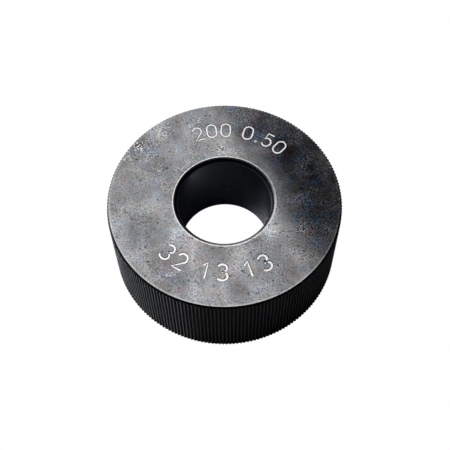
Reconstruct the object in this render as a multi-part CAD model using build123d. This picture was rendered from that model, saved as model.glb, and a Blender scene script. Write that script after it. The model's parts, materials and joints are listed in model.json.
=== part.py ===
# A knurling wheel: a small hardened steel roller whose rim carries fine straight teeth.
# Pressed against a turning bar, it rolls its teeth into the metal as a grip pattern.
# The wheel is one piece, made here in the order of the workshop: turn the blank, cut the teeth
# into the rim, and let the bevels of the blank run out through the tooth ends.
# It lies flat, with its axis along Z and its origin in the middle of the bore, at half the width.

import os
from math import radians, tan

from build123d import *

# Driving dimensions, in millimetres and degrees

INCH = 25.4

outer_diameter = 1.25 * INCH
wheel_width = 0.5 * INCH
bore_diameter = 0.5 * INCH

# The pitch series counts whole teeth for each inch of diameter, so every stock size closes evenly.
teeth_per_inch_of_diameter = 160
tooth_depth = 0.009 * INCH
tooth_space_angle = 90

# The rim bevel is a little deeper than the teeth, so an unbroken ring is left at its inner edge.
rim_bevel = 0.25
bore_chamfer = 0.55

# How far the tooth cutter's outline stands out past the rim, so that it cuts right through.
cutter_overrun = 0.10

# Worked out from the driving dimensions

outer_radius = outer_diameter / 2
bore_radius = bore_diameter / 2
half_width = wheel_width / 2
tooth_count = round(teeth_per_inch_of_diameter * outer_diameter / INCH)
tooth_step_angle = 360 / tooth_count


def turned_blank():
    """The plain ring with 45 degree bevels at the rim and at both mouths of the bore."""
    section = Polygon(
        (bore_radius, -half_width + bore_chamfer),
        (bore_radius + bore_chamfer, -half_width),
        (outer_radius - rim_bevel, -half_width),
        (outer_radius, -half_width + rim_bevel),
        (outer_radius, half_width - rim_bevel),
        (outer_radius - rim_bevel, half_width),
        (bore_radius + bore_chamfer, half_width),
        (bore_radius, half_width - bore_chamfer),
        align=None,
    )
    return revolve(Plane.XZ * section, Axis.Z)


def tooth_space():
    """The outline of the gap between two teeth: a V with its point at the root, open at the rim."""
    root_radius = outer_radius - tooth_depth
    mouth_radius = outer_radius + cutter_overrun
    half_mouth = (mouth_radius - root_radius) * tan(radians(tooth_space_angle / 2))
    return Polygon(
        (root_radius, 0),
        (mouth_radius, half_mouth),
        (mouth_radius, -half_mouth),
        align=None,
    )


def toothed_bar():
    """A round bar as long as the wheel is wide, with the teeth cut along its whole length."""
    space = tooth_space()
    # Half a step off the X axis puts a whole tooth there, so the rim measures its full diameter.
    space_angles = [(index + 0.5) * tooth_step_angle for index in range(tooth_count)]
    spaces = [Rotation(0, 0, angle) * space for angle in space_angles]
    outline = Circle(outer_radius) - spaces
    bar = extrude(outline, wheel_width)
    return Location((0, 0, -half_width)) * bar


def knurling_wheel():
    """The finished wheel: what the turned blank and the toothed bar have in common."""
    return turned_blank() & toothed_bar()


os.makedirs("parts", exist_ok=True)
wheel = knurling_wheel()
export_step(wheel, "parts/knurling_wheel.step")
print("teeth", tooth_count, "volume mm3", round(wheel.volume, 1))
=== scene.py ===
# %% [markdown]
# # A knurling wheel
# The object is one piece of hardened steel: a thick ring whose rim carries two hundred fine teeth.
# It lies flat on a pale floor and is seen from above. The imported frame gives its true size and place,
# so the first cell loads it, and everything below is worked out from what it says.

import json
from math import cos, pi, radians, sin

import bpy
from mathutils import Matrix, Vector


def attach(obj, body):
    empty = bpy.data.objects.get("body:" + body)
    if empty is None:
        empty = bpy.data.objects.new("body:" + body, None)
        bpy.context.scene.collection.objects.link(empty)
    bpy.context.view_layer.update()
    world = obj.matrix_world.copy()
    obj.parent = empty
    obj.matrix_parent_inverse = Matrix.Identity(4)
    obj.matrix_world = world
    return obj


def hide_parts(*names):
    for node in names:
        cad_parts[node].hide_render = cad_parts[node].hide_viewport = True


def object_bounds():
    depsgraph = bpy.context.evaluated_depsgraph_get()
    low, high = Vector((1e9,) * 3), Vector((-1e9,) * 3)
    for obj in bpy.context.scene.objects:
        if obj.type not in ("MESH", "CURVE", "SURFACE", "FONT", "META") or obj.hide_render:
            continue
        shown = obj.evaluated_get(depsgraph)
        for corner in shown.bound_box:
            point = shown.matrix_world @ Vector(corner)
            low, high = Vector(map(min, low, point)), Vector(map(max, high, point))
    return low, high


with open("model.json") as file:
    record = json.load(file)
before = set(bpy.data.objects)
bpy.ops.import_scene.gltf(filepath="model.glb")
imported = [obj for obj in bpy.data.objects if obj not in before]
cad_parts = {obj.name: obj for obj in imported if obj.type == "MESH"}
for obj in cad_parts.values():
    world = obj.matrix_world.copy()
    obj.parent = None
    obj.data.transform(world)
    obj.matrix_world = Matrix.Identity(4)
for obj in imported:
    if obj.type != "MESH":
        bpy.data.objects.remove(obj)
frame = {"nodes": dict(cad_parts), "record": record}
cad_low, cad_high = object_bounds()
print("frame nodes:", sorted(frame["nodes"]))

# %% [markdown]
# ## Sizes
# Blender works in metres here, so a millimetre is a named value. The outside and the width come from the
# node's box, and the bore from the record's own mount. The bevels and the teeth are drawn again below
# with softly rounded edges, so their sizes are written once, in this cell.

# %% Sizes
MM = 0.001
NODE = "knurling_wheel"

bore_mount = next(m for m in frame["record"]["mounts"] if m["name"] == "bore")
outer_radius = cad_high.x
half_width = cad_high.z
bore_radius = bore_mount["dims"]["r_mm"] * MM
bore_chamfer = half_width - bore_mount["dims"]["length_mm"] * MM / 2
rim_bevel = 0.25 * MM
tooth_count = 200
tooth_depth = 0.2286 * MM
tooth_pitch = 2 * pi * outer_radius / tooth_count
crest_land = tooth_pitch - 2 * tooth_depth
face_inner = bore_radius + bore_chamfer
face_outer = outer_radius - rim_bevel
print(f"wheel {2 * outer_radius / MM:.2f} x {2 * half_width / MM:.2f} mm, bore {2 * bore_radius / MM:.2f} mm")
print(f"tooth pitch {tooth_pitch / MM:.3f} mm, crest land {crest_land / MM:.3f} mm")

# %% [markdown]
# ## Helpers for node trees
# Geometry trees and material trees are both boxes joined by wires. Building one by hand in Python takes
# several lines a box, so a short helper adds a node, sets its options and fills its inputs. An input that
# is given a value is set, and one that is given another node's output is wired.

# %% Node helpers
def put(tree, kind, *values, out=0, named=None, **options):
    """Adds one node and gives back one of its outputs, or the node itself when out is None."""
    box = tree.nodes.new(kind)
    for option, value in options.items():
        setattr(box, option, value)
    for key, value in list(enumerate(values)) + list((named or {}).items()):
        if isinstance(value, bpy.types.NodeSocket):
            tree.links.new(value, box.inputs[key])
        elif value is not None:
            box.inputs[key].default_value = value
    return box if out is None else box.outputs[out]


def calc(tree, operation, *values):
    """One step of arithmetic, in either kind of tree."""
    return put(tree, "ShaderNodeMath", *values, operation=operation)


def compare(tree, operation, first, second):
    """A yes or no test on two numbers, in a geometry tree."""
    return put(tree, "FunctionNodeCompare", first, second, operation=operation)


def new_tree(name, kind, inputs, outputs):
    """A tree with named inputs and outputs. Gives back the tree, its inlets and its outlet node."""
    tree = bpy.data.node_groups.new(name, kind)
    for label, socket, value in inputs:
        made = tree.interface.new_socket(name=label, in_out="INPUT", socket_type="NodeSocket" + socket)
        if value is not None:
            made.default_value = value
    for label, socket in outputs:
        tree.interface.new_socket(name=label, in_out="OUTPUT", socket_type="NodeSocket" + socket)
    inlets = tree.nodes.new("NodeGroupInput").outputs
    outlet = tree.nodes.new("NodeGroupOutput")
    return tree, inlets, outlet


# %% [markdown]
# ## The turned section
# A lathe makes the blank: every cut through the axis shows the same outline, with small bevels at the rim
# and at both mouths of the bore. So the wheel starts as a flat closed curve of eight corners, drawn from
# the bore wall outwards. Each corner's point radius holds how far that edge is rounded, because no real
# edge is perfectly sharp: the thin bright line round the face is light caught by such a rounding.

# %% Draw the section
rim_edge = 0.03 * MM
bore_edge = 0.06 * MM
face_reach = face_outer - bore_radius
rim_reach = outer_radius - bore_radius
section_corners = [
    (0, -half_width + bore_chamfer, 0, rim_edge),
    (bore_chamfer, -half_width, 0, bore_edge),
    (face_reach, -half_width, 0, rim_edge),
    (rim_reach, -half_width + rim_bevel, 0, rim_edge),
    (rim_reach, half_width - rim_bevel, 0, rim_edge),
    (face_reach, half_width, 0, rim_edge),
    (bore_chamfer, half_width, 0, bore_edge),
    (0, half_width - bore_chamfer, 0, rim_edge),
]


def line_object(name, lines):
    """A curve object of straight-sided lines. A line is its points and whether it is closed."""
    data = bpy.data.curves.new(name, "CURVE")
    data.dimensions = "3D"
    for points, closed in lines:
        line = data.splines.new("POLY")
        line.points.add(len(points) - 1)
        for point, (x, y, z, radius) in zip(line.points, points):
            point.co = (x, y, z, 1)
            point.radius = radius
        line.use_cyclic_u = closed
    made = bpy.data.objects.new(name, data)
    bpy.context.scene.collection.objects.link(made)
    return made


wheel_section = line_object("wheel_section", [(section_corners, True)])
print("section corners:", len(section_corners))

# %% [markdown]
# ## Numbers for the face
# The real face carries marks etched in thin, even, light strokes. This wheel carries plain numbers in the
# same two places: the tooth count and pitch on the far side, the three sizes in whole millimetres on the
# near side. A font would give outlines of uneven width, and an etching needle draws single lines, so
# each digit is written as one stroke of straight runs and arcs, in a cell that is one unit high.

# %% Digit strokes
# A run goes to (x, y). An arc is centre x, centre y, radius x, radius y, start and end in degrees.
GLYPH_WIDTH = 0.62
DIGITS = {
    "0": [(0.31, 0.68, 0.31, 0.32, 0, 180), (0.31, 0.32, 0.31, 0.32, 180, 360)],
    "1": [(0.12, 0.80), (0.34, 1.00), (0.34, 0.00)],
    "2": [(0.31, 0.70, 0.29, 0.30, 165, -32), (0.02, 0.00), (0.62, 0.00)],
    "3": [(0.30, 0.755, 0.26, 0.245, 155, -90), (0.30, 0.255, 0.30, 0.255, 85, -155)],
    "5": [(0.57, 1.00), (0.13, 1.00), (0.08, 0.54), (0.31, 0.32, 0.30, 0.32, 128, -150)],
    ".": [(0.31, 0.04, 0.04, 0.04, 0, 360)],
}
CLOSED = "0."
ADVANCE = {".": 0.50, " ": 0.60}
ARC_STEP = 12
needle_radius = 0.28 * MM
needle_lift = 0.205 * MM


def stroke_points(digit):
    """One digit's stroke as points in its unit cell, its arcs divided into short runs."""
    points = []
    for run in DIGITS[digit]:
        if len(run) == 2:
            points.append(run)
            continue
        cx, cy, rx, ry, start, end = run
        steps = round(abs(end - start) / ARC_STEP)
        turns = [radians(start + (end - start) * step / steps) for step in range(steps + 1)]
        points += [(cx + rx * cos(turn), cy + ry * sin(turn)) for turn in turns]
    apart = [p for p, before in zip(points, [(-1, -1)] + points) if Vector(p) != Vector(before)]
    return apart[:-1] if digit in CLOSED else apart


def number_arc(text, middle, baseline, height, spacing, weights, outward):
    """A text bent round the face, its strokes growing from the first weight to the second. Outward text has
    its tops at the rim, other text has them at the bore."""
    reading = -1 if outward else 1
    mid_radius = baseline - reading * height / 2
    widths = [ADVANCE.get(letter, 1) * spacing * height for letter in text]
    start = -sum(widths) / 2
    lines = []
    for place_in_text, (letter, width) in enumerate(zip(text, widths)):
        weight = weights[0] + (weights[1] - weights[0]) * place_in_text / (len(text) - 1)
        angle = radians(middle) + reading * (start + width / 2) / mid_radius
        start += width
        if letter == " ":
            continue
        radial = Vector((cos(angle), sin(angle), 0))
        right = Vector((-sin(angle), cos(angle), 0)) * reading
        up = radial * -reading
        points = []
        for x, y in stroke_points(letter):
            place = radial * baseline + right * (x - GLYPH_WIDTH / 2) * height + up * y * height
            points.append((place.x, place.y, half_width + needle_lift * weight, weight))
        lines.append((points, letter in CLOSED))
    return lines


far_text = number_arc("200 0.50", 77.7, 0.655 * outer_radius, 2.1 * MM, 0.95, (0.80, 1.00), True)
near_text = number_arc("32 13 13", 262, 0.75 * outer_radius, 2.3 * MM, 0.96, (1.0, 1.45), False)
number_lines = line_object("number_lines", far_text + near_text)
print("number strokes:", len(far_text) + len(near_text))

# %% [markdown]
# ## Turning, knurling and marking in one tree
# The rim repeats one shape two hundred times, which is what Geometry Nodes are good at. The tree does
# what the workshop does. It rounds the section's corners and turns the section about the axis. It then
# presses in the teeth: each column of points sinks by the depth of the tooth space at its angle, and the
# points of the bevel slide along the bevel's own slope, so the tooth ends run out as they do on the
# real wheel. Last, it cuts the numbers with a thin round needle.

# %% Start the wheel's tree
wheel_tree, size, wheel_out = new_tree(
    "turn_knurl_and_mark",
    "GeometryNodeTree",
    [
        ("Section", "Geometry", None),
        ("Number Lines", "Object", None),
        ("Teeth", "Int", 8),
        ("Columns per Tooth", "Int", 4),
        ("Bore Radius", "Float", 1.0),
        ("Outer Radius", "Float", 1.0),
        ("Half Width", "Float", 1.0),
        ("Face Inner Radius", "Float", 1.0),
        ("Face Outer Radius", "Float", 1.0),
        ("Tooth Depth", "Float", 0.1),
        ("Crest Land", "Float", 0.1),
        ("Root Rounding", "Float", 0.1),
        ("Needle Radius", "Float", 0.1),
        ("Face Finish", "Material", None),
        ("Tooth Finish", "Material", None),
        ("Bore Finish", "Material", None),
        ("Number Finish", "Material", None),
    ],
    [("Wheel", "Geometry")],
)
CORNER_STEPS = 2

corner_radius = put(wheel_tree, "GeometryNodeInputRadius")
rounded = put(
    wheel_tree, "GeometryNodeFilletCurve", size["Section"], CORNER_STEPS, corner_radius, mode="POLY"
)
columns = calc(wheel_tree, "MULTIPLY", size["Teeth"], size["Columns per Tooth"])
bore_circle = put(
    wheel_tree,
    "GeometryNodeCurvePrimitiveCircle",
    named={"Resolution": columns, "Radius": size["Bore Radius"]},
)
level_circle = put(wheel_tree, "GeometryNodeSetCurveNormal", bore_circle, mode="Z_UP")
blank = put(wheel_tree, "GeometryNodeCurveToMesh", level_circle, rounded)

# %% [markdown]
# ### The tooth outline as a formula
# Every point knows its angle, so it knows which tooth it stands on and how far from that tooth's middle
# it is. Evenly spaced columns would miss the narrow land on the crest, so the columns are first moved:
# the first two of each half tooth mark the land, and the rest share the slope. The slope is then a
# straight line down to the root, where a smooth minimum rounds the bottom of the V.

# %% Press in the teeth
def rim_steps(tree):
    """Where each column of the rim goes: its new angle, and how deep it lies under the crests."""
    position = put(tree, "GeometryNodeInputPosition")
    place = put(tree, "ShaderNodeSeparateXYZ", position, out=None).outputs
    angle = calc(tree, "ARCTAN2", place["Y"], place["X"])
    step = calc(tree, "DIVIDE", 2 * pi, size["Teeth"])
    pitch = calc(tree, "MULTIPLY", step, size["Outer Radius"])
    turns = calc(tree, "DIVIDE", angle, step)
    nearest = calc(tree, "ROUND", turns)
    offset = calc(tree, "SUBTRACT", turns, nearest)
    away = calc(tree, "MULTIPLY", calc(tree, "ABSOLUTE", offset), 2.0)
    first = calc(tree, "DIVIDE", 2.0, size["Columns per Tooth"])
    half_land = calc(tree, "DIVIDE", calc(tree, "DIVIDE", size["Crest Land"], 2.0), pitch)
    on_land = put(tree, "ShaderNodeMapRange", away, 0.0, first, 0.0, half_land)
    slope_share = calc(tree, "SUBTRACT", 0.5, half_land)
    on_slope = put(tree, "ShaderNodeMapRange", away, first, 1.0, 0.0, slope_share)
    moved = calc(tree, "ADD", on_land, on_slope)
    signed = calc(tree, "MULTIPLY", moved, calc(tree, "SIGN", offset))
    new_angle = calc(tree, "MULTIPLY", calc(tree, "ADD", nearest, signed), step)
    straight = calc(tree, "DIVIDE", on_slope, slope_share)
    sharp = calc(tree, "MULTIPLY", straight, size["Tooth Depth"])
    depth = calc(tree, "SMOOTH_MIN", sharp, size["Tooth Depth"], size["Root Rounding"])
    return place, new_angle, depth


place, new_angle, depth = rim_steps(wheel_tree)
flat_length = put(
    wheel_tree,
    "ShaderNodeVectorMath",
    put(wheel_tree, "ShaderNodeCombineXYZ", place["X"], place["Y"], 0.0),
    operation="LENGTH",
    out="Value",
)
both_radii = calc(wheel_tree, "ADD", size["Outer Radius"], size["Face Outer Radius"])
rim_start = calc(wheel_tree, "MULTIPLY", both_radii, 0.5)
on_rim = calc(wheel_tree, "GREATER_THAN", flat_length, rim_start)
sink = calc(wheel_tree, "MULTIPLY", depth, on_rim)
new_radius = calc(wheel_tree, "SUBTRACT", flat_length, sink)
slide = calc(wheel_tree, "MULTIPLY", sink, calc(wheel_tree, "SIGN", place["Z"]))
new_place = put(
    wheel_tree,
    "ShaderNodeCombineXYZ",
    calc(wheel_tree, "MULTIPLY", new_radius, calc(wheel_tree, "COSINE", new_angle)),
    calc(wheel_tree, "MULTIPLY", new_radius, calc(wheel_tree, "SINE", new_angle)),
    calc(wheel_tree, "ADD", place["Z"], slide),
)
knurled = put(wheel_tree, "GeometryNodeSetPosition", blank, named={"Position": new_place})

# %% [markdown]
# ### Cutting the numbers
# The strokes become thin eight-sided bars that dip into the face with one flat side down, and a Boolean
# takes them away from the steel, which leaves shallow grooves with flat floors. The manifold solver is the
# quick one, and it asks for closed shapes, which both of these are.

# %% Cut the numbers
strokes = put(wheel_tree, "GeometryNodeObjectInfo", size["Number Lines"], out="Geometry")
needle = put(
    wheel_tree,
    "GeometryNodeCurvePrimitiveCircle",
    named={"Resolution": 8, "Radius": size["Needle Radius"]},
)
flat_needle = put(wheel_tree, "GeometryNodeTransform", needle, named={"Rotation": (0, 0, radians(22.5))})
stroke_weight = put(wheel_tree, "GeometryNodeInputRadius")
bars = put(wheel_tree, "GeometryNodeCurveToMesh", strokes, flat_needle, stroke_weight, True)
marked = put(
    wheel_tree,
    "GeometryNodeMeshBoolean",
    knurled,
    bars,
    operation="DIFFERENCE",
    solver="MANIFOLD",
)

# %% [markdown]
# ### Smoothing and finishes
# The columns are so fine that the wheel looks round either way, so only real edges are kept sharp: any
# edge that turns by more than a few degrees. Each region then takes its own material: the ground flats,
# the bore with its chamfers, the bottoms of the numbers, and the toothed rim as what is left.

# %% Smooth and dress the wheel
SHARP_FROM = radians(8)
FLAT_ABOVE = 0.99
SURFACE_SKIN = 0.0005 * MM

smooth = put(wheel_tree, "GeometryNodeSetShadeSmooth", marked, None, True, domain="FACE")
edge_angle = put(wheel_tree, "GeometryNodeInputMeshEdgeAngle")
is_sharp = compare(wheel_tree, "GREATER_THAN", edge_angle, SHARP_FROM)
edged = put(wheel_tree, "GeometryNodeSetShadeSmooth", smooth, is_sharp, False, domain="EDGE")
realized = put(wheel_tree, "GeometryNodeRealizeInstances", edged)

position = put(wheel_tree, "GeometryNodeInputPosition")
centre = put(wheel_tree, "ShaderNodeSeparateXYZ", position, out=None).outputs
normal_out = put(wheel_tree, "GeometryNodeInputNormal", out="True Normal")
normal = put(wheel_tree, "ShaderNodeSeparateXYZ", normal_out, out=None).outputs
face_radius = put(
    wheel_tree,
    "ShaderNodeVectorMath",
    put(wheel_tree, "ShaderNodeCombineXYZ", centre["X"], centre["Y"], 0.0),
    operation="LENGTH",
    out="Value",
)
lies_flat = compare(wheel_tree, "GREATER_THAN", calc(wheel_tree, "ABSOLUTE", normal["Z"]), FLAT_ABOVE)
below_face = compare(
    wheel_tree, "LESS_THAN", centre["Z"], calc(wheel_tree, "SUBTRACT", size["Half Width"], SURFACE_SKIN)
)
above_middle = compare(wheel_tree, "GREATER_THAN", centre["Z"], 0.0)
past_bore = compare(wheel_tree, "GREATER_THAN", face_radius, size["Face Inner Radius"])
inside_rim = compare(wheel_tree, "LESS_THAN", face_radius, size["Face Outer Radius"])


def both(tree, *tests):
    """True where every test is true."""
    result = tests[0]
    for test in tests[1:]:
        result = put(tree, "FunctionNodeBooleanMath", result, test, operation="AND")
    return result


in_bore = compare(wheel_tree, "LESS_THAN", face_radius, size["Face Inner Radius"])
in_number = both(wheel_tree, lies_flat, below_face, above_middle, past_bore, inside_rim)
dressed = put(wheel_tree, "GeometryNodeSetMaterial", realized, None, size["Tooth Finish"])
dressed = put(wheel_tree, "GeometryNodeSetMaterial", dressed, in_bore, size["Bore Finish"])
dressed = put(wheel_tree, "GeometryNodeSetMaterial", dressed, lies_flat, size["Face Finish"])
dressed = put(wheel_tree, "GeometryNodeSetMaterial", dressed, in_number, size["Number Finish"])
wheel_tree.links.new(dressed, wheel_out.inputs["Wheel"])
print("wheel tree nodes:", len(wheel_tree.nodes))

# %% [markdown]
# ## Finishes
# One steel, four looks. The flats were ground and then darkened by an oxide bath, which left a satin grey
# with faint blue, brown and rose clouds. The teeth and the bore kept the full black of the bath. The
# numbers are etched through it to pale metal. Effects that several finishes share are node groups:
# where a point is on the wheel, clouds, grain, worn edges with painted highlights, and pits with scratches.

# %% Where a point is on the wheel
# This direction points to the back left. The sky brightens along it, the painted highlight on the rim
# border fades along it, and the painted reflection on the rim bevel grows along it.
BACK_LEFT = (-0.5, 0.87, 0.0)

place_group, inlet, outlet = new_tree(
    "place_on_wheel",
    "ShaderNodeTree",
    [("Object Position", "Vector", None)],
    [("Millimetres", "Vector"), ("Radius", "Float"), ("Height", "Float"), ("Towards Back", "Float")],
)
in_mm = put(place_group, "ShaderNodeVectorMath", inlet[0], named={"Scale": 1 / MM}, operation="SCALE")
flat_mm = put(place_group, "ShaderNodeVectorMath", in_mm, (1, 1, 0), operation="MULTIPLY")
place_group.links.new(in_mm, outlet.inputs["Millimetres"])
place_group.links.new(
    put(place_group, "ShaderNodeVectorMath", flat_mm, operation="LENGTH", out="Value"),
    outlet.inputs["Radius"],
)
place_group.links.new(
    put(place_group, "ShaderNodeSeparateXYZ", in_mm, out="Z"),
    outlet.inputs["Height"],
)
place_group.links.new(
    put(place_group, "ShaderNodeVectorMath", in_mm, BACK_LEFT, operation="DOT_PRODUCT", out="Value"),
    outlet.inputs["Towards Back"],
)

# %% Oxide clouds
def noise(tree, vector, scale, detail=3.0, roughness=0.55, swirl=0.0):
    """Smooth random values round a half."""
    named = {"Vector": vector, "Scale": scale, "Detail": detail, "Roughness": roughness, "Distortion": swirl}
    return put(tree, "ShaderNodeTexNoise", named=named)


def fade(tree, value, low, high, at_low=0.0, at_high=1.0):
    """A straight change from one value to another, held at both ends."""
    return put(tree, "ShaderNodeMapRange", value, low, high, at_low, at_high)


def ramp(tree, factor, stops):
    """A colour ramp with the given places and colours."""
    box = put(tree, "ShaderNodeValToRGB", factor, out=None)
    points = box.color_ramp.elements
    while len(points) < len(stops):
        points.new(1.0)
    for point, (at, color) in zip(points, stops):
        point.position = at
        point.color = color
    return box.outputs["Color"]


def mix_color(tree, factor, first, second):
    """The second colour laid over the first, by the factor."""
    named = {"Factor": factor, 6: first, 7: second}
    return put(tree, "ShaderNodeMix", data_type="RGBA", named=named, out=2)


# Thin oxide shows as a tint that turns with its thickness.
HEAT_TINTS = [
    (0.30, (0.92, 1.00, 1.12, 1)),
    (0.42, (0.97, 1.01, 1.05, 1)),
    (0.50, (1.00, 1.00, 1.00, 1)),
    (0.58, (1.05, 1.00, 0.94, 1)),
    (0.70, (1.08, 0.95, 1.02, 1)),
]
NO_TINT = (1, 1, 1, 1)
# Specks are dark: the bright end of their noise is cut off here.
BRIGHTEST_SPECKLE = 0.57

cloud_group, inlet, outlet = new_tree(
    "oxide_clouds",
    "ShaderNodeTree",
    [
        ("Millimetres", "Vector", None),
        ("Base Color", "Color", (0.3, 0.3, 0.3, 1)),
        ("Cloud Size", "Float", 3.0),
        ("Contrast", "Float", 0.2),
        ("Speckle Size", "Float", 0.2),
        ("Speckle", "Float", 0.1),
        ("Tint", "Float", 0.3),
    ],
    [("Color", "Color")],
)
cloud_scale = calc(cloud_group, "DIVIDE", 1.0, inlet["Cloud Size"])
large = noise(cloud_group, inlet["Millimetres"], cloud_scale, 4.0, 0.55, 0.6)
cloud_change = calc(cloud_group, "MULTIPLY", calc(cloud_group, "SUBTRACT", large, 0.5), inlet["Contrast"])
speckle_scale = calc(cloud_group, "DIVIDE", 1.0, inlet["Speckle Size"])
all_speckles = noise(cloud_group, inlet["Millimetres"], speckle_scale, 2.0, 0.7)
speckles = calc(cloud_group, "MINIMUM", all_speckles, BRIGHTEST_SPECKLE)
patchy = fade(cloud_group, noise(cloud_group, inlet["Millimetres"], 0.3, 3.0), 0.35, 0.65, 0.5, 1.6)
speckle_here = calc(cloud_group, "MULTIPLY", inlet["Speckle"], patchy)
speckle_change = calc(cloud_group, "MULTIPLY", calc(cloud_group, "SUBTRACT", speckles, 0.5), speckle_here)
gain = calc(cloud_group, "POWER", 2.0, calc(cloud_group, "ADD", cloud_change, speckle_change))
shifted = put(cloud_group, "ShaderNodeVectorMath", inlet["Millimetres"], (17.0, 5.0, 0.0), operation="ADD")
hue = noise(cloud_group, shifted, calc(cloud_group, "MULTIPLY", cloud_scale, 2.2), 2.0, 0.5)
tints = put(
    cloud_group,
    "ShaderNodeMix",
    data_type="RGBA",
    clamp_factor=False,
    named={"Factor": inlet["Tint"], 6: NO_TINT, 7: ramp(cloud_group, hue, HEAT_TINTS)},
    out=2,
)
tinted = put(cloud_group, "ShaderNodeVectorMath", inlet["Base Color"], tints, operation="MULTIPLY")
clouded = put(cloud_group, "ShaderNodeVectorMath", tinted, operation="SCALE", named={"Scale": gain})
cloud_group.links.new(clouded, outlet.inputs["Color"])

# %% Grain of the surface
grain_group, inlet, outlet = new_tree(
    "surface_grain",
    "ShaderNodeTree",
    [
        ("Millimetres", "Vector", None),
        ("Along", "Float", 0.0),
        ("Grain Size", "Float", 0.1),
        ("Line Spacing", "Float", 0.1),
        ("Roughness", "Float", 0.4),
        ("Spread", "Float", 0.1),
    ],
    [("Roughness", "Float"), ("Height", "Float")],
)
fine = noise(grain_group, inlet["Millimetres"], calc(grain_group, "DIVIDE", 1.0, inlet["Grain Size"]), 2.0)
lines_place = put(
    grain_group,
    "ShaderNodeCombineXYZ",
    calc(grain_group, "DIVIDE", inlet["Along"], inlet["Line Spacing"]),
    noise(grain_group, inlet["Millimetres"], 0.15, 0.0),
    0.0,
)
lines = noise(grain_group, lines_place, 1.0, 2.0)
uneven = calc(grain_group, "SUBTRACT", noise(grain_group, inlet["Millimetres"], 0.9, 3.0), 0.5)
rough_here = calc(grain_group, "MULTIPLY_ADD", uneven, inlet["Spread"], inlet["Roughness"])
height = calc(grain_group, "MULTIPLY", calc(grain_group, "ADD", fine, lines), 0.5)
grain_group.links.new(rough_here, outlet.inputs["Roughness"])
grain_group.links.new(height, outlet.inputs["Height"])

# %% Worn edges and painted edge highlights
wear_and_highlight_group, inlet, outlet = new_tree(
    "edge_wear_and_highlight",
    "ShaderNodeTree",
    [
        ("Millimetres", "Vector", None),
        ("Distance", "Float", 1.0),
        ("Width", "Float", 0.1),
        ("Raggedness", "Float", 0.5),
    ],
    [("Wear", "Float")],
)
ragged = calc(wear_and_highlight_group, "SUBTRACT", noise(wear_and_highlight_group, inlet["Millimetres"], 2.5, 3.0), 0.5)
waver = calc(wear_and_highlight_group, "MULTIPLY", ragged, inlet["Raggedness"])
reach = calc(wear_and_highlight_group, "MULTIPLY_ADD", waver, 2.0, 1.0)
reach_mm = calc(wear_and_highlight_group, "MULTIPLY", inlet["Width"], reach)
full_until = calc(wear_and_highlight_group, "MULTIPLY", reach_mm, 0.5)
wear_and_highlight_group.links.new(fade(wear_and_highlight_group, inlet["Distance"], reach_mm, full_until), outlet.inputs["Wear"])

# %% [markdown]
# ### Smoke and painted sheen
# The bath did not darken the face evenly, and these patches hold that oxide tone together with painted
# light. Dark patches are thick oxide deepened with painted shade, on the side of the face that reflects
# little light, and bright ones are grinding that shows through, lifted with painted sheen. Each patch is a
# place and a reach in millimetres, and a strength: minus one halves the brightness and plus one doubles
# it. A slow noise bends the coordinates, so that no patch is a plain disc.

# %% Smoky patches and painted sheen
SMOKE_AND_SHEEN = [
    (10.2, 6.0, 6.0, -1.3),
    (8.6, 8.4, 3.8, -1.5),
    (3.8, 11.2, 2.4, -0.3),
    (10.9, 1.0, 2.4, -0.35),
    (14.4, 4.4, 2.6, 0.4),
    (-9.4, -0.8, 3.4, 0.25),
    (4.4, -6.6, 2.6, -0.35),
    (-8.0, -9.0, 2.8, -0.25),
    (-10.8, 9.0, 3.0, -0.25),
    (1.2, 15.0, 2.6, -0.5),
    (-6.6, 7.4, 3.2, 0.35),
    (5.6, 4.6, 2.4, 0.5),
    (12.0, -4.2, 2.6, -0.4),
    (10.8, 3.4, 3.6, -0.8),
    (12.4, -3.0, 3.6, -0.6),
    (3.6, 10.6, 3.2, -0.9),
    (-11.6, 9.6, 3.0, -0.5),
    (-9.6, 0.6, 3.4, 0.3),
    (14.2, 6.0, 3.4, 0.5),
    (11.9, -0.5, 6.0, -1.3),
    (12.6, -6.0, 4.5, -0.7),
    (6.0, 12.6, 5.0, -0.7),
    (-9.6, 6.4, 4.0, -0.3),
    (-11.6, -3.2, 4.0, -0.35),
    (-6.8, -10.8, 4.0, -0.4),
    (7.0, -11.2, 3.5, -0.3),
    (1.6, -13.2, 2.5, -0.3),
    (0.4, 8.2, 4.0, 0.6),
    (-5.8, -4.8, 4.5, 0.6),
    (6.4, -4.0, 3.6, 0.8),
    (2.4, -10.0, 3.2, 0.5),
    (-2.4, -13.0, 4.0, 0.5),
    (-12.6, -8.6, 3.5, 0.4),
    (-8.6, 11.6, 3.5, 0.25),
    (-3.0, 13.6, 3.0, 0.3),
    (-4.4, -8.8, 3.2, 0.4),
    (-15.0, -3.6, 2.6, 0.3),
    (6.6, 14.0, 2.4, 0.5),
]

smoke_and_sheen_group, inlet, outlet = new_tree(
    "smoke_and_painted_sheen_patches",
    "ShaderNodeTree",
    [("Millimetres", "Vector", None), ("Bend", "Float", 1.5)],
    [("Gain", "Float"), ("Darkness", "Float")],
)
wander = put(
    smoke_and_sheen_group,
    "ShaderNodeTexNoise",
    out="Color",
    named={"Vector": inlet["Millimetres"], "Scale": 0.35, "Detail": 3.0, "Roughness": 0.6},
)
centred = put(smoke_and_sheen_group, "ShaderNodeVectorMath", wander, (0.5, 0.5, 0.5), operation="SUBTRACT")
push = put(smoke_and_sheen_group, "ShaderNodeVectorMath", centred, operation="SCALE", named={"Scale": inlet["Bend"]})
bent = put(smoke_and_sheen_group, "ShaderNodeVectorMath", inlet["Millimetres"], push, operation="ADD")
on_plan = put(smoke_and_sheen_group, "ShaderNodeVectorMath", bent, (1, 1, 0), operation="MULTIPLY")
total = 0.0
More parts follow.
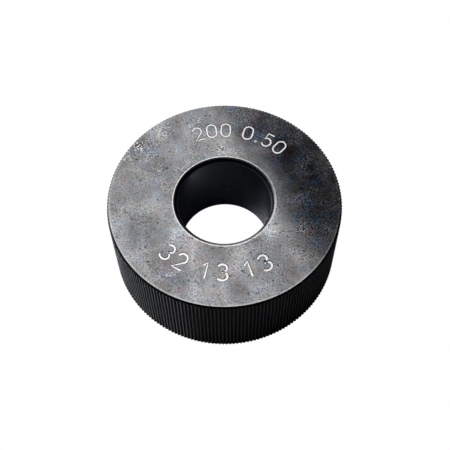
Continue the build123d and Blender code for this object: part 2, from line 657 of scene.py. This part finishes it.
# Each patch adds oxide tone, with painted sheen where it brightens and painted shade where it darkens.
for x, y, patch_reach, strength in SMOKE_AND_SHEEN:
    away = put(smoke_and_sheen_group, "ShaderNodeVectorMath", on_plan, (x, y, 0), operation="DISTANCE", out="Value")
    here = put(
        smoke_and_sheen_group,
        "ShaderNodeMapRange",
        away,
        patch_reach,
        0.0,
        0.0,
        strength,
        interpolation_type="SMOOTHSTEP",
    )
    total = calc(smoke_and_sheen_group, "ADD", total, here)
smoke_and_sheen_group.links.new(calc(smoke_and_sheen_group, "POWER", 2.0, total), outlet.inputs["Gain"])
smoke_and_sheen_group.links.new(fade(smoke_and_sheen_group, total, -0.2, -1.2), outlet.inputs["Darkness"])

# %% [markdown]
# ### Scuffs
# A wheel that has been handled is not marked evenly: its pits and short scratches lie in a few patches.
# Each patch is a place on the face and a reach, both in millimetres, and a strength. A field of small
# cells gives dark pits, larger inside the patches. The high and the low end of one fine, stretched noise
# give the short pale and dark marks that lie side by side there.

# %% Pits and scratches
SCUFFS = [
    (-11.8, 8.8, 1.2, 1.0),
    (-10.4, 8.2, 2.6, 0.4),
    (-9.0, 5.4, 0.9, 0.8),
    (-13.4, 7.2, 1.4, 0.6),
    (-8.2, 11.6, 1.8, 0.55),
    (-4.0, 12.8, 1.6, 0.4),
    (-0.4, 8.4, 0.9, 0.7),
    (-6.2, 4.6, 1.4, 0.35),
    (10.2, -4.6, 0.9, 0.9),
    (12.2, 5.6, 3.4, 0.6),
    (9.6, 10.4, 3.0, 0.5),
    (3.6, 14.0, 2.2, 0.5),
    (7.4, 12.8, 2.2, 0.6),
]

scuff_group, inlet, outlet = new_tree(
    "pits_and_scratches",
    "ShaderNodeTree",
    [
        ("Millimetres", "Vector", None),
        ("Pit Spacing", "Float", 1.0),
        ("Pit Radius", "Float", 0.1),
        ("Elsewhere", "Float", 0.3),
    ],
    [("Pits", "Float"), ("Scratches", "Float")],
)
patch = None
for x, y, patch_reach, strength in SCUFFS:
    away = put(
        scuff_group,
        "ShaderNodeVectorMath",
        inlet["Millimetres"],
        (x, y, half_width / MM),
        operation="DISTANCE",
        out="Value",
    )
    here = fade(scuff_group, away, patch_reach, patch_reach * 0.5, 0.0, strength)
    patch = here if patch is None else calc(scuff_group, "MAXIMUM", patch, here)
holes = fade(scuff_group, noise(scuff_group, inlet["Millimetres"], 0.8), 0.36, 0.5)
patch = calc(scuff_group, "MULTIPLY", patch, holes)
ripple = put(
    scuff_group, "ShaderNodeTexNoise", out="Color", named={"Vector": inlet["Millimetres"], "Scale": 3.0}
)
crooked = put(
    scuff_group,
    "ShaderNodeVectorMath",
    ripple,
    (0.9, 0.9, 0.0),
    inlet["Millimetres"],
    operation="MULTIPLY_ADD",
)
drawn_out = put(
    scuff_group,
    "ShaderNodeMapping",
    crooked,
    named={"Rotation": (0, 0, radians(35)), "Scale": (0.6, 1.2, 1.0)},
)
cells = put(
    scuff_group,
    "ShaderNodeTexVoronoi",
    named={"Vector": drawn_out, "Scale": calc(scuff_group, "DIVIDE", 1.0, inlet["Pit Spacing"])},
    out=None,
).outputs
cell_mm = calc(scuff_group, "MULTIPLY", cells["Distance"], inlet["Pit Spacing"])
luck = fade(scuff_group, put(scuff_group, "ShaderNodeSeparateXYZ", cells["Color"], out="X"), 0.3, 1.0)
pitted = calc(scuff_group, "MULTIPLY", calc(scuff_group, "MAXIMUM", patch, inlet["Elsewhere"]), luck)
pit_reach = calc(scuff_group, "MULTIPLY", inlet["Pit Radius"], pitted)
pits = fade(scuff_group, cell_mm, pit_reach, calc(scuff_group, "MULTIPLY", pit_reach, 0.4))
slanted = put(
    scuff_group,
    "ShaderNodeMapping",
    inlet["Millimetres"],
    named={"Rotation": (0, 0, radians(62)), "Scale": (1.0, 1.9, 1.0)},
)
hairs = noise(scuff_group, slanted, 3.0, 1.0, 0.5, 0.6)
pale_hairs = calc(scuff_group, "MULTIPLY", fade(scuff_group, hairs, 0.54, 0.61), patch)
dark_hairs = calc(scuff_group, "MULTIPLY", fade(scuff_group, hairs, 0.44, 0.37), patch)
scuff_group.links.new(calc(scuff_group, "MAXIMUM", pits, dark_hairs), outlet.inputs["Pits"])
scuff_group.links.new(pale_hairs, outlet.inputs["Scratches"])


# %% [markdown]
# ### Putting the effects together
# Every finish starts the same way: a material, its shader, and the place on the wheel from the object
# coordinates. It then asks the shared groups for a colour, a roughness and a fine relief. How metallic it
# is can be one number or, where the finish changes within a part, a mask.

# %% Helpers for the finishes
def group_box(tree, group, **inputs):
    """Places a shared effect in a material and gives back its outputs."""
    named = {key.replace("_", " ").title(): value for key, value in inputs.items()}
    return put(tree, "ShaderNodeGroup", out=None, node_tree=group, named=named).outputs


def start_finish(name):
    """A new material: gives back itself, its tree, its shader and the place on the wheel."""
    material = bpy.data.materials.new(name)
    material.use_nodes = True
    tree = material.node_tree
    where = put(tree, "ShaderNodeTexCoord", out="Object")
    place = group_box(tree, place_group, object_position=where)
    return material, tree, tree.nodes["Principled BSDF"], place


def finish_shader(tree, shader, color, roughness, height, relief, metallic):
    """Feeds the shader. Relief is how far the height stands out, in metres."""
    bump = put(tree, "ShaderNodeBump", named={"Height": height, "Distance": relief, "Strength": 1.0})
    tree.links.new(color, shader.inputs["Base Color"])
    tree.links.new(roughness, shader.inputs["Roughness"])
    tree.links.new(bump, shader.inputs["Normal"])
    if isinstance(metallic, bpy.types.NodeSocket):
        tree.links.new(metallic, shader.inputs["Metallic"])
    else:
        shader.inputs["Metallic"].default_value = metallic


# %% [markdown]
# ### The ground flats
# Satin metal: fully metallic, mid grey, with a roughness that drifts a little. Clouds, smoky patches with
# painted sheen and painted shade, and a fine speckle vary its colour, and the scuffs lie over them. The
# border at the rim is rubbed a little paler, and a painted highlight makes it palest in front. The one at
# the bore is narrower and brighter: wear with a painted highlight.

# %% Ground flats
face_finish, tree, shader, place = start_finish("ground_oxide_steel")
smoke_and_sheen = group_box(tree, smoke_and_sheen_group, millimetres=place["Millimetres"], bend=2.5)
clouds = group_box(
    tree,
    cloud_group,
    millimetres=place["Millimetres"],
    base_color=mix_color(tree, smoke_and_sheen["Darkness"], (0.134, 0.135, 0.139, 1), (0.125, 0.131, 0.158, 1)),
    cloud_size=3.2,
    contrast=calc(tree, "MULTIPLY_ADD", smoke_and_sheen["Darkness"], 2.2, 2.5),
    speckle_size=0.22,
    speckle=calc(tree, "MULTIPLY_ADD", smoke_and_sheen["Darkness"], 8.0, 4.5),
    tint=calc(tree, "MULTIPLY_ADD", smoke_and_sheen["Darkness"], 2.4, 0.75),
)
from_rim = calc(tree, "SUBTRACT", face_outer / MM, place["Radius"])
from_bore = calc(tree, "SUBTRACT", place["Radius"], face_inner / MM)
rim_wear_and_highlight = group_box(
    tree, wear_and_highlight_group, millimetres=place["Millimetres"], distance=from_rim, width=0.26, raggedness=0.8
)
bore_edge_wear_and_highlight = group_box(
    tree, wear_and_highlight_group, millimetres=place["Millimetres"], distance=from_bore, width=0.16, raggedness=0.8
)
scuffs = group_box(
    tree, scuff_group, millimetres=place["Millimetres"], pit_spacing=0.42, pit_radius=0.28, elsewhere=0.45
)
PIT_BLACK = (0.01, 0.01, 0.012, 1)
PALE_STEEL = (0.44, 0.44, 0.45, 1)
RIM_WEAR_AND_HIGHLIGHT_STEEL = (0.34, 0.35, 0.35, 1)
BRIGHT_WEAR_AND_HIGHLIGHT_STEEL = (0.50, 0.50, 0.50, 1)
# The patches' gain scales the colour: oxide tone with painted sheen and painted shade.
color = put(tree, "ShaderNodeVectorMath", clouds["Color"], operation="SCALE", named={"Scale": smoke_and_sheen["Gain"]})
color = mix_color(tree, calc(tree, "MULTIPLY", scuffs["Scratches"], 0.9), color, PALE_STEEL)
color = mix_color(tree, calc(tree, "MULTIPLY", scuffs["Pits"], 0.9), color, PIT_BLACK)
# Paler rim border: wear all round, with a painted highlight that grows towards the front.
rim_wear_and_front_highlight = fade(tree, place["Towards Back"], 4.0, 14.0, 0.45, 0.10)
color = mix_color(tree, calc(tree, "MULTIPLY", rim_wear_and_highlight["Wear"], rim_wear_and_front_highlight), color, RIM_WEAR_AND_HIGHLIGHT_STEEL)
# Bright line round the bore's edge: wear with a painted highlight.
color = mix_color(tree, calc(tree, "MULTIPLY", bore_edge_wear_and_highlight["Wear"], 0.9), color, BRIGHT_WEAR_AND_HIGHLIGHT_STEEL)
grain = group_box(
    tree,
    grain_group,
    millimetres=place["Millimetres"],
    along=place["Radius"],
    grain_size=0.18,
    line_spacing=0.10,
    roughness=0.16,
    spread=0.10,
)
height = calc(tree, "SUBTRACT", calc(tree, "MULTIPLY", grain["Height"], 0.15), scuffs["Pits"])
finish_shader(tree, shader, color, grain["Roughness"], height, 0.015 * MM, 1.0)

# %% [markdown]
# ### The teeth and the bore
# The full black of the bath lies on the flanks of the teeth and in the bore: very dark and rougher than the
# flats. The narrow crests have met other metal and are rubbed grey, which draws the fine lines round the
# rim, and the roots are near black, oxide deepened with painted shade. The rim bevel is near black in front
# as painted shade and grey at the back as a painted reflection. The chamfers of the bore are black too, with
# a bright worn line where they meet the face, and a painted highlight widens that line in front.

# %% Black teeth
tooth_finish, tree, shader, place = start_finish("black_oxide_teeth")
clouds = group_box(
    tree,
    cloud_group,
    millimetres=place["Millimetres"],
    base_color=(0.25, 0.262, 0.292, 1),
    cloud_size=2.0,
    contrast=1.2,
    speckle_size=0.25,
    speckle=0.6,
    tint=0.3,
)
from_crest = calc(tree, "SUBTRACT", outer_radius / MM, place["Radius"])
# Roots near black: oxide, deepened with painted shade in the tooth hollows.
root_oxide_and_shade = fade(tree, from_crest, 0.004, 0.04)
color = mix_color(tree, root_oxide_and_shade, clouds["Color"], (0.008, 0.008, 0.010, 1))
from_middle = calc(tree, "ABSOLUTE", place["Height"])
bevel_start = (half_width - rim_bevel) / MM
on_bevel = fade(tree, from_middle, bevel_start - 0.02, bevel_start + 0.02)
# Rim bevel: a near-black mirror in front as painted shade, grey at the back as a painted reflection.
bevel_reflection_at_back = fade(tree, place["Towards Back"], 2.0, 8.0)
bevel_shade_and_reflection_color = mix_color(tree, bevel_reflection_at_back, (0.003, 0.003, 0.004, 1), (0.12, 0.12, 0.125, 1))
color = mix_color(tree, on_bevel, color, bevel_shade_and_reflection_color)
grain = group_box(
    tree,
    grain_group,
    millimetres=place["Millimetres"],
    along=place["Height"],
    grain_size=0.08,
    line_spacing=0.3,
    roughness=0.70,
    spread=0.15,
)
rough = calc(tree, "MAXIMUM", grain["Roughness"], calc(tree, "MULTIPLY", on_bevel, 0.9))
metal = fade(tree, on_bevel, 0.0, 1.0, 0.1, 1.0)
finish_shader(tree, shader, color, rough, grain["Height"], 0.002 * MM, metal)

# %% Black bore
bore_finish, tree, shader, place = start_finish("black_oxide_bore")
clouds = group_box(
    tree,
    cloud_group,
    millimetres=place["Millimetres"],
    base_color=(0.088, 0.096, 0.140, 1),
    cloud_size=2.5,
    contrast=1.0,
    speckle_size=0.25,
    speckle=0.5,
    tint=0.2,
)
from_mouth = calc(tree, "SUBTRACT", face_inner / MM, place["Radius"])
front_to_back = put(tree, "ShaderNodeSeparateXYZ", place["Millimetres"], out="Y")
# Bright line at the bore's mouth: wear with a painted highlight, widened in front as a painted reflection.
mouth_wear_and_highlight_width = fade(tree, front_to_back, -6.0, -2.0, 0.42, 0.18)
mouth_wear_and_highlight = group_box(
    tree, wear_and_highlight_group, millimetres=place["Millimetres"], distance=from_mouth, width=mouth_wear_and_highlight_width, raggedness=0.4
)
wall_radius = bore_radius / MM
on_chamfer = fade(tree, place["Radius"], wall_radius + 0.04, wall_radius + 0.12)
color = mix_color(tree, on_chamfer, clouds["Color"], (0.020, 0.021, 0.026, 1))
color = mix_color(tree, mouth_wear_and_highlight["Wear"], color, BRIGHT_WEAR_AND_HIGHLIGHT_STEEL)
grain = group_box(
    tree,
    grain_group,
    millimetres=place["Millimetres"],
    along=place["Height"],
    grain_size=0.10,
    line_spacing=0.12,
    roughness=0.30,
    spread=0.15,
)
rough = calc(tree, "MAXIMUM", grain["Roughness"], calc(tree, "MULTIPLY", on_chamfer, 0.45))
metal = fade(tree, on_chamfer, 0.0, 1.0, 0.3, 1.0)
finish_shader(tree, shader, color, rough, grain["Height"], 0.002 * MM, metal)

# %% Etched numbers
number_finish, tree, shader, place = start_finish("etched_pale_steel")
clouds = group_box(
    tree,
    cloud_group,
    millimetres=place["Millimetres"],
    base_color=(0.90, 0.89, 0.88, 1),
    cloud_size=1.2,
    contrast=0.6,
    speckle_size=0.2,
    speckle=0.6,
    tint=0.4,
)
grain = group_box(
    tree,
    grain_group,
    millimetres=place["Millimetres"],
    along=place["Radius"],
    grain_size=0.05,
    line_spacing=0.2,
    roughness=0.45,
    spread=0.2,
)
finish_shader(tree, shader, clouds["Color"], grain["Roughness"], grain["Height"], 0.004 * MM, 0.9)
print("finishes:", len(bpy.data.materials))

# %% [markdown]
# ## Make the wheel
# The tree goes on the section as a modifier. Its inputs are set by their identifiers before Blender first
# works the tree out. The result is then copied to a plain mesh that sits at the origin, as the packed
# node does. The helper curves are removed, and so is the empty material slot that the section brings along.

# %% Make the wheel
COLUMNS_PER_TOOTH = 10
tree_values = {
    "Number Lines": number_lines,
    "Teeth": tooth_count,
    "Columns per Tooth": COLUMNS_PER_TOOTH,
    "Bore Radius": bore_radius,
    "Outer Radius": outer_radius,
    "Half Width": half_width,
    "Face Inner Radius": face_inner,
    "Face Outer Radius": face_outer,
    "Tooth Depth": tooth_depth,
    "Crest Land": crest_land,
    "Root Rounding": 0.06 * MM,
    "Needle Radius": needle_radius,
    "Face Finish": face_finish,
    "Tooth Finish": tooth_finish,
    "Bore Finish": bore_finish,
    "Number Finish": number_finish,
}


def plain_mesh(source, tree, values, name):
    """Runs a geometry tree on an object and keeps the result as a plain mesh object at the origin."""
    modifier = source.modifiers.new(tree.name, "NODES")
    modifier.node_group = tree
    for item in tree.interface.items_tree:
        if item.in_out == "INPUT" and item.name in values:
            modifier[item.identifier] = values[item.name]
    shapes = bpy.context.evaluated_depsgraph_get()
    mesh = bpy.data.meshes.new_from_object(source.evaluated_get(shapes), depsgraph=shapes)
    source.modifiers.remove(modifier)
    for slot in reversed(range(len(mesh.materials))):
        if mesh.materials[slot] is None:
            mesh.materials.pop(index=slot)
    mesh.name = name
    made = bpy.data.objects.new(name, mesh)
    bpy.context.scene.collection.objects.link(made)
    return made


wheel = plain_mesh(wheel_section, wheel_tree, tree_values, "knurled_wheel")
for helper in (wheel_section, number_lines):
    bpy.data.objects.remove(helper)
wheel.data.calc_loop_triangles()
triangles = wheel.data.loop_triangles
corners = [[wheel.data.vertices[i].co for i in t.vertices] for t in triangles]
volume = sum(a.dot(b.cross(c)) for a, b, c in corners) / 6
print(f"wheel: {len(triangles)} triangles, {volume / MM**3:.1f} cubic mm")
for number, material in enumerate(wheel.data.materials):
    faces = sum(face.material_index == number for face in wheel.data.polygons)
    print(f"{material.name}: {faces} faces")

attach(wheel, "root")
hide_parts(NODE)

# %% [markdown]
# ## Floor and light
# The floor of a product picture is white all over, and yet the steel shows a lit side and a shaded side,
# because the real table had both. So the floor is two sheets. The camera sees only the white one. The
# steel sees only the table just under it, a plain light grey that takes the light and the wheel's shadow.

# %% Floor
FLOOR_HALF = 4.0
TABLE_GAP = 0.0002
TABLE_GREY = (0.35, 0.35, 0.35, 1)


def sheet(name, height, color, glow):
    """A flat square of the floor. Its paint may glow for the camera, but it lights nothing."""
    corners = [(x * FLOOR_HALF, y * FLOOR_HALF, height) for x, y in ((-1, -1), (1, -1), (1, 1), (-1, 1))]
    mesh = bpy.data.meshes.new(name)
    mesh.from_pydata(corners, [], [(0, 1, 2, 3)])
    material = bpy.data.materials.new(name + "_paint")
    material.use_nodes = True
    shader = material.node_tree.nodes["Principled BSDF"]
    shader.inputs["Base Color"].default_value = color
    shader.inputs["Roughness"].default_value = 0.9
    shader.inputs["Emission Color"].default_value = (1, 1, 1, 1)
    shader.inputs["Emission Strength"].default_value = glow
    material.cycles.emission_sampling = "NONE"
    mesh.materials.append(material)
    made = bpy.data.objects.new(name, mesh)
    bpy.context.scene.collection.objects.link(made)
    return made


white_floor = sheet("white_floor", -half_width - TABLE_GAP / 2, (0, 0, 0, 1), 1.0)
white_floor.visible_glossy = False
white_floor.visible_diffuse = False
white_floor.visible_shadow = False
table = sheet("table", -half_width - TABLE_GAP, TABLE_GREY, 0.0)
table.visible_camera = False

# %% [markdown]
# Metal shows what it reflects. A soft light hangs over the back, and the dark side of the face is simply
# where that light ends. A lower one stands behind the wheel, so the teeth at the front stay in shadow. A
# flat strip at the left grazes the crests on that side, and it stays below the top face, which it must not
# reach. A small spot in the mouth of the bore shines down on the right, where the photo shows a soft glow.

# %% Soft lights
def soft_light(name, place, aim, turn, width, depth, radiance):
    """A rectangular soft light that faces a point. Radiance is how bright it looks in a mirror."""
    data = bpy.data.lights.new(name, "AREA")
    data.shape = "RECTANGLE"
    data.size = width
    data.size_y = depth
    data.energy = radiance * pi * width * depth
    made = bpy.data.objects.new(name, data)
    bpy.context.scene.collection.objects.link(made)
    facing = (Vector(aim) - Vector(place)).to_track_quat("-Z", "Y").to_matrix().to_4x4()
    made.matrix_world = Matrix.Translation(place) @ facing @ Matrix.Rotation(radians(turn), 4, "Z")
    return made


KEY_HEIGHT = 0.222
KEY_EDGE = Vector((0.0193, 0.1347))
KEY_TURN = 24.6
KEY_WIDTH = 0.22
KEY_DEPTH = 0.30
KEY_SHIFT = 0.06
across = Vector((cos(radians(KEY_TURN)), sin(radians(KEY_TURN))))
along = Vector((-across.y, across.x))
key_centre = KEY_EDGE - across * KEY_WIDTH / 2 + along * KEY_SHIFT
key_place = (key_centre.x, key_centre.y, KEY_HEIGHT)
soft_light("key_light", key_place, (key_centre.x, key_centre.y, 0), KEY_TURN, KEY_WIDTH, KEY_DEPTH, 2.2)

BACK_AZIMUTH = radians(118)
BACK_DISTANCE = 0.26
BACK_HEIGHT = 0.06
back_place = (BACK_DISTANCE * cos(BACK_AZIMUTH), BACK_DISTANCE * sin(BACK_AZIMUTH), BACK_HEIGHT)
soft_light("back_light", back_place, (0, 0, BACK_HEIGHT), 0, 0.40, 0.14, 3.0)

LEFT_AZIMUTH = radians(163)
LEFT_DISTANCE = 0.20
LEFT_HEIGHT = 0.0005
left_place = (LEFT_DISTANCE * cos(LEFT_AZIMUTH), LEFT_DISTANCE * sin(LEFT_AZIMUTH), LEFT_HEIGHT)
soft_light("left_light", left_place, (0, 0, LEFT_HEIGHT), 0, 0.08, 0.010, 420.0)

BORE_LIGHT_PLACE = (4.6 * MM, 2.2 * MM, 5.5 * MM)
bore_data = bpy.data.lights.new("bore_light", "SPOT")
bore_data.energy = 0.009
bore_data.spot_size = radians(28)
bore_data.spot_blend = 1.0
bore_data.shadow_soft_size = 1.4 * MM
bore_light = bpy.data.objects.new("bore_light", bore_data)
bore_light.location = BORE_LIGHT_PLACE
bpy.context.scene.collection.objects.link(bore_light)

# The sky is dim in front and brighter towards the back left.
world = bpy.data.worlds.new("studio")
bpy.context.scene.world = world
world.use_nodes = True
sky = world.node_tree
direction = put(sky, "ShaderNodeTexCoord", out="Generated")
backwards = put(sky, "ShaderNodeVectorMath", direction, BACK_LEFT, operation="DOT_PRODUCT", out="Value")
sky_strength = fade(sky, backwards, 0.2, 0.9, 0.010, 0.15)
sky.links.new(sky_strength, sky.nodes["Background"].inputs["Strength"])
sky.nodes["Background"].inputs["Color"].default_value = (0.86, 0.93, 1.08, 1)

# %% [markdown]
# ## Camera
# The camera looks down at 61 degrees from a hand's width away with a short telephoto lens. The picture is
# 450 pixels square, and the wheel sits a little above its middle, which the lens shift takes care of. The
# camera was held a degree off level.

# %% Camera
PICTURE = 450
SENSOR = 36.0
elevation = radians(61.15)
distance = 8.005 * outer_radius
focal_pixels = 901.5
wheel_right_by = -0.286
wheel_up_by = 2.132
roll = radians(-0.97)

camera_data = bpy.data.cameras.new("camera")
camera_data.lens = focal_pixels / PICTURE * SENSOR
camera_data.sensor_width = SENSOR
camera_data.shift_x = -wheel_right_by / PICTURE
camera_data.shift_y = -wheel_up_by / PICTURE
camera_data.clip_start = 0.01
camera = bpy.data.objects.new("camera", camera_data)
bpy.context.scene.collection.objects.link(camera)
towards_camera = Vector((0, -cos(elevation), sin(elevation)))
aim = (-towards_camera).to_track_quat("-Z", "Y").to_matrix().to_4x4()
camera.matrix_world = Matrix.Translation(towards_camera * distance) @ aim @ Matrix.Rotation(roll, 4, "Z")
bpy.context.scene.camera = camera
bpy.context.scene.view_settings.view_transform = "Standard"
print(f"camera {distance / MM:.1f} mm away, lens {camera_data.lens:.2f} mm")
